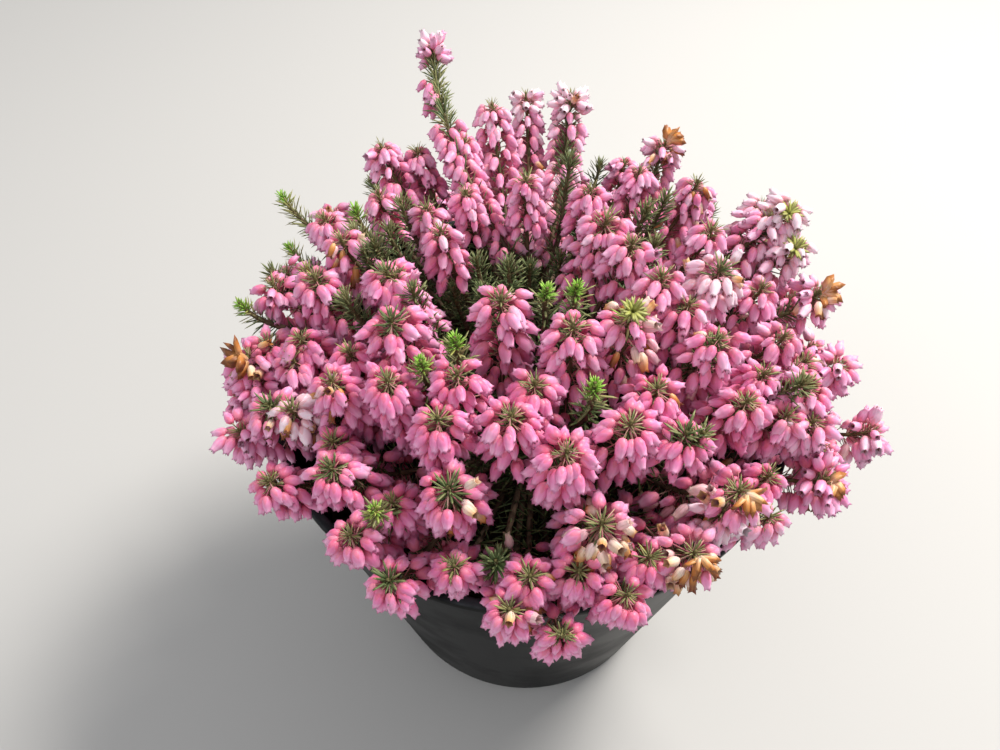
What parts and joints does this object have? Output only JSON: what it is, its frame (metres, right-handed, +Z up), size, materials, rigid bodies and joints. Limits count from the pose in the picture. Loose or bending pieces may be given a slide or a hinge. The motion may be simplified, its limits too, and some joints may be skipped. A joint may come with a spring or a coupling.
{
  "type": "potted ken wilson heath",
  "caption": "Low dome of winter-flowering heath with needle-leaved twigs and rods of small pink bells, in a round tapered nursery pot.",
  "frame": {"origin": "centre of the pot's base", "axes": "+Z up along the pot's axis, -Y towards the viewer, +X to the viewer's right"},
  "size_m": [0.183, 0.1774, 0.1842],
  "materials": {
    "pot": "moulded near-black plastic, faintly scuffed",
    "soil": "dark crumbly compost",
    "bloom_01": "thin satin petals",
    "bloom_02": "thin satin petals",
    "bloom_03": "thin satin petals",
    "bloom_04": "thin satin petals",
    "bloom_05": "thin satin petals",
    "bloom_06": "thin satin petals",
    "bloom_07": "thin satin petals",
    "bloom_08": "thin satin petals",
    "bloom_09": "thin satin petals",
    "bloom_10": "thin satin petals",
    "bloom_11": "thin satin petals",
    "bloom_12": "thin satin petals",
    "bloom_13": "thin satin petals",
    "bloom_14": "thin satin petals",
    "bloom_15": "thin satin petals",
    "bloom_16": "thin satin petals",
    "bloom_17": "thin satin petals",
    "bloom_18": "thin satin petals",
    "bloom_19": "thin satin petals",
    "bloom_20": "thin satin petals",
    "bloom_21": "thin satin petals",
    "bloom_22": "thin satin petals",
    "bloom_23": "thin satin petals",
    "bloom_24": "thin satin petals",
    "bloom_25": "thin satin petals",
    "bloom_26": "thin satin petals",
    "bloom_27": "thin satin petals",
    "bloom_28": "thin satin petals",
    "bloom_29": "thin satin petals",
    "bloom_30": "thin satin petals",
    "bloom_31": "thin satin petals",
    "bloom_32": "thin satin petals",
    "bloom_33": "thin satin petals",
    "bloom_34": "thin satin petals",
    "bloom_35": "thin satin petals",
    "bloom_36": "thin satin petals",
    "bloom_37": "thin satin petals",
    "bloom_38": "thin satin petals",
    "bloom_39": "thin satin petals",
    "bloom_40": "thin satin petals",
    "bloom_41": "thin satin petals",
    "bloom_42": "thin satin petals",
    "bloom_43": "thin satin petals",
    "bloom_44": "thin satin petals",
    "bloom_45": "thin satin petals",
    "bloom_46": "thin satin petals",
    "bloom_47": "thin satin petals",
    "bloom_48": "thin satin petals",
    "bloom_49": "thin satin petals",
    "bloom_50": "thin satin petals",
    "bloom_51": "thin satin petals",
    "bloom_52": "thin satin petals",
    "branch_01": "short needles on slim woody twigs",
    "branch_02": "short needles on slim woody twigs",
    "branch_03": "short needles on slim woody twigs",
    "branch_04": "short needles on slim woody twigs",
    "branch_05": "short needles on slim woody twigs",
    "branch_06": "short needles on slim woody twigs"
  },
  "bodies": {
    "root": {"pot": "pot", "soil": "soil", "bloom_01": "bloom_01", "bloom_02": "bloom_02", "bloom_03": "bloom_03", "bloom_04": "bloom_04", "bloom_05": "bloom_05", "bloom_06": "bloom_06", "bloom_07": "bloom_07", "bloom_08": "bloom_08", "bloom_09": "bloom_09", "bloom_10": "bloom_10", "bloom_11": "bloom_11", "bloom_12": "bloom_12", "bloom_13": "bloom_13", "bloom_14": "bloom_14", "bloom_15": "bloom_15", "bloom_16": "bloom_16", "bloom_17": "bloom_17", "bloom_18": "bloom_18", "bloom_19": "bloom_19", "bloom_20": "bloom_20", "bloom_21": "bloom_21", "bloom_22": "bloom_22", "bloom_23": "bloom_23", "bloom_24": "bloom_24", "bloom_25": "bloom_25", "bloom_26": "bloom_26", "bloom_27": "bloom_27", "bloom_28": "bloom_28", "bloom_29": "bloom_29", "bloom_30": "bloom_30", "bloom_31": "bloom_31", "bloom_32": "bloom_32", "bloom_33": "bloom_33", "bloom_34": "bloom_34", "bloom_35": "bloom_35", "bloom_36": "bloom_36", "bloom_37": "bloom_37", "bloom_38": "bloom_38", "bloom_39": "bloom_39", "bloom_40": "bloom_40", "bloom_41": "bloom_41", "bloom_42": "bloom_42", "bloom_43": "bloom_43", "bloom_44": "bloom_44", "bloom_45": "bloom_45", "bloom_46": "bloom_46", "bloom_47": "bloom_47", "bloom_48": "bloom_48", "bloom_49": "bloom_49", "bloom_50": "bloom_50", "bloom_51": "bloom_51", "bloom_52": "bloom_52", "branch_01": "branch_01", "branch_02": "branch_02", "branch_03": "branch_03", "branch_04": "branch_04", "branch_05": "branch_05", "branch_06": "branch_06"}
  },
  "joints": []
}
